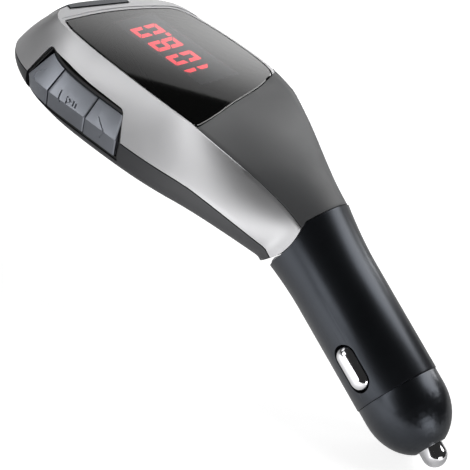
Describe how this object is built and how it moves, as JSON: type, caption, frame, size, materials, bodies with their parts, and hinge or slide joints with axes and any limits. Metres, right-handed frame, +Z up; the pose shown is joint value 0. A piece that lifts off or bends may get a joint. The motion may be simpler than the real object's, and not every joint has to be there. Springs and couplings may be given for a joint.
{
  "type": "car fm transmitter",
  "caption": "Bent 12 V plug with sprung contacts that carries a wide, tilting silver head with a digit display, side buttons and a charging socket",
  "frame": {"origin": "on the plug's axis, at the seam between the barrel and the nose cap", "axes": "+X from the head towards the plug, -Y the side with the buttons, +Z up from the level top of the head; the plug points down at 29 degrees"},
  "size_m": [0.1442, 0.0482, 0.0524],
  "materials": {
    "black_gloss": "polished black",
    "contact_metal": "bright nickel",
    "spring_steel": "drawn wire",
    "fuse_glass": "clear",
    "fuse_cap": "nickel plated",
    "pale_plastic": "moulded",
    "leaf_metal": "spring bronze",
    "board_green": "solder mask",
    "ferrite": "sintered",
    "grey_joint": "moulded light grey",
    "pin_steel": "turned",
    "silver_shell": "satin silver lacquer",
    "dark_shell": "satin dark grey lacquer",
    "spine": "satin dark grey",
    "window": "smoked acrylic",
    "display_case": "moulded black",
    "digit_red": "lit red",
    "tinned": "tinned",
    "can_metal": "sleeved can",
    "button_grey": "satin grey",
    "socket_white": "moulded white",
    "lead_red": "insulated wire"
  },
  "bodies": {
    "plug": {"barrel": "black_gloss", "nose_cap": "black_gloss", "nose_spring": "spring_steel", "fuse_tube": "pale_plastic", "side_spring_near": "leaf_metal", "side_spring_far": "leaf_metal", "plug_board": "board_green", "plug_coil": "ferrite", "knuckle": "grey_joint", "supply_leads": "lead_red"},
    "centre_contact": {"nose_contact": "contact_metal", "fuse_glass": "fuse_glass", "fuse_caps": "fuse_cap"},
    "near_contact": {"side_contact_near": "contact_metal"},
    "far_contact": {"side_contact_far": "contact_metal"},
    "head": {"tilt_pin": "pin_steel", "friction_washers": "pale_plastic", "top_shell": "silver_shell", "bottom_shell": "dark_shell", "spine_cover": "spine", "display_window": "window", "display_module": "display_case", "display_digits": "digit_red", "main_board": "board_green", "radio_chips": "display_case", "shield_can": "tinned", "capacitors": "can_metal", "microphone": "can_metal", "antenna_wire": "tinned", "button_frame": "display_case", "switches": "display_case", "socket_panel": "black_gloss", "socket_shell": "tinned", "socket_tongue": "socket_white", "shell_screws": "pin_steel"},
    "previous": {"button_previous": "button_grey", "plunger_previous": "button_grey"},
    "call": {"button_call": "button_grey", "plunger_call": "button_grey"},
    "next": {"button_next": "button_grey", "plunger_next": "button_grey"}
  },
  "joints": [
    {"name": "centre_contact_push", "type": "slide", "parent": "plug", "child": "centre_contact", "axis": [-0.8746, 0, 0.4848], "range_m": [0, 0.003], "stiffness_N_per_m": 600, "springref_m": -0.002, "deforming": ["nose_spring"]},
    {"name": "near_contact_push", "type": "slide", "parent": "plug", "child": "near_contact", "axis": [0, 1, 0], "range_m": [0, 0.001], "stiffness_N_per_m": 900, "springref_m": -0.001, "deforming": ["side_spring_near"]},
    {"name": "far_contact_push", "type": "slide", "parent": "plug", "child": "far_contact", "axis": [0, -1, 0], "range_m": [0, 0.001], "stiffness_N_per_m": 900, "springref_m": -0.001, "deforming": ["side_spring_far"]},
    {"name": "head_tilt", "type": "hinge", "parent": "plug", "child": "head", "pos_m": [-0.04644, 0, 0.02574], "axis": [0, -1, 0], "range_deg": [0, 7], "deforming": ["supply_leads"]},
    {"name": "previous_press", "type": "slide", "parent": "head", "child": "previous", "axis": [0, 1, 0], "range_m": [0, 0.0004], "stiffness_N_per_m": 2500, "springref_m": -0.0002},
    {"name": "call_press", "type": "slide", "parent": "head", "child": "call", "axis": [0, 1, 0], "range_m": [0, 0.0004], "stiffness_N_per_m": 2500, "springref_m": -0.0002},
    {"name": "next_press", "type": "slide", "parent": "head", "child": "next", "axis": [0, 1, 0], "range_m": [0, 0.0004], "stiffness_N_per_m": 2500, "springref_m": -0.0002}
  ]
}
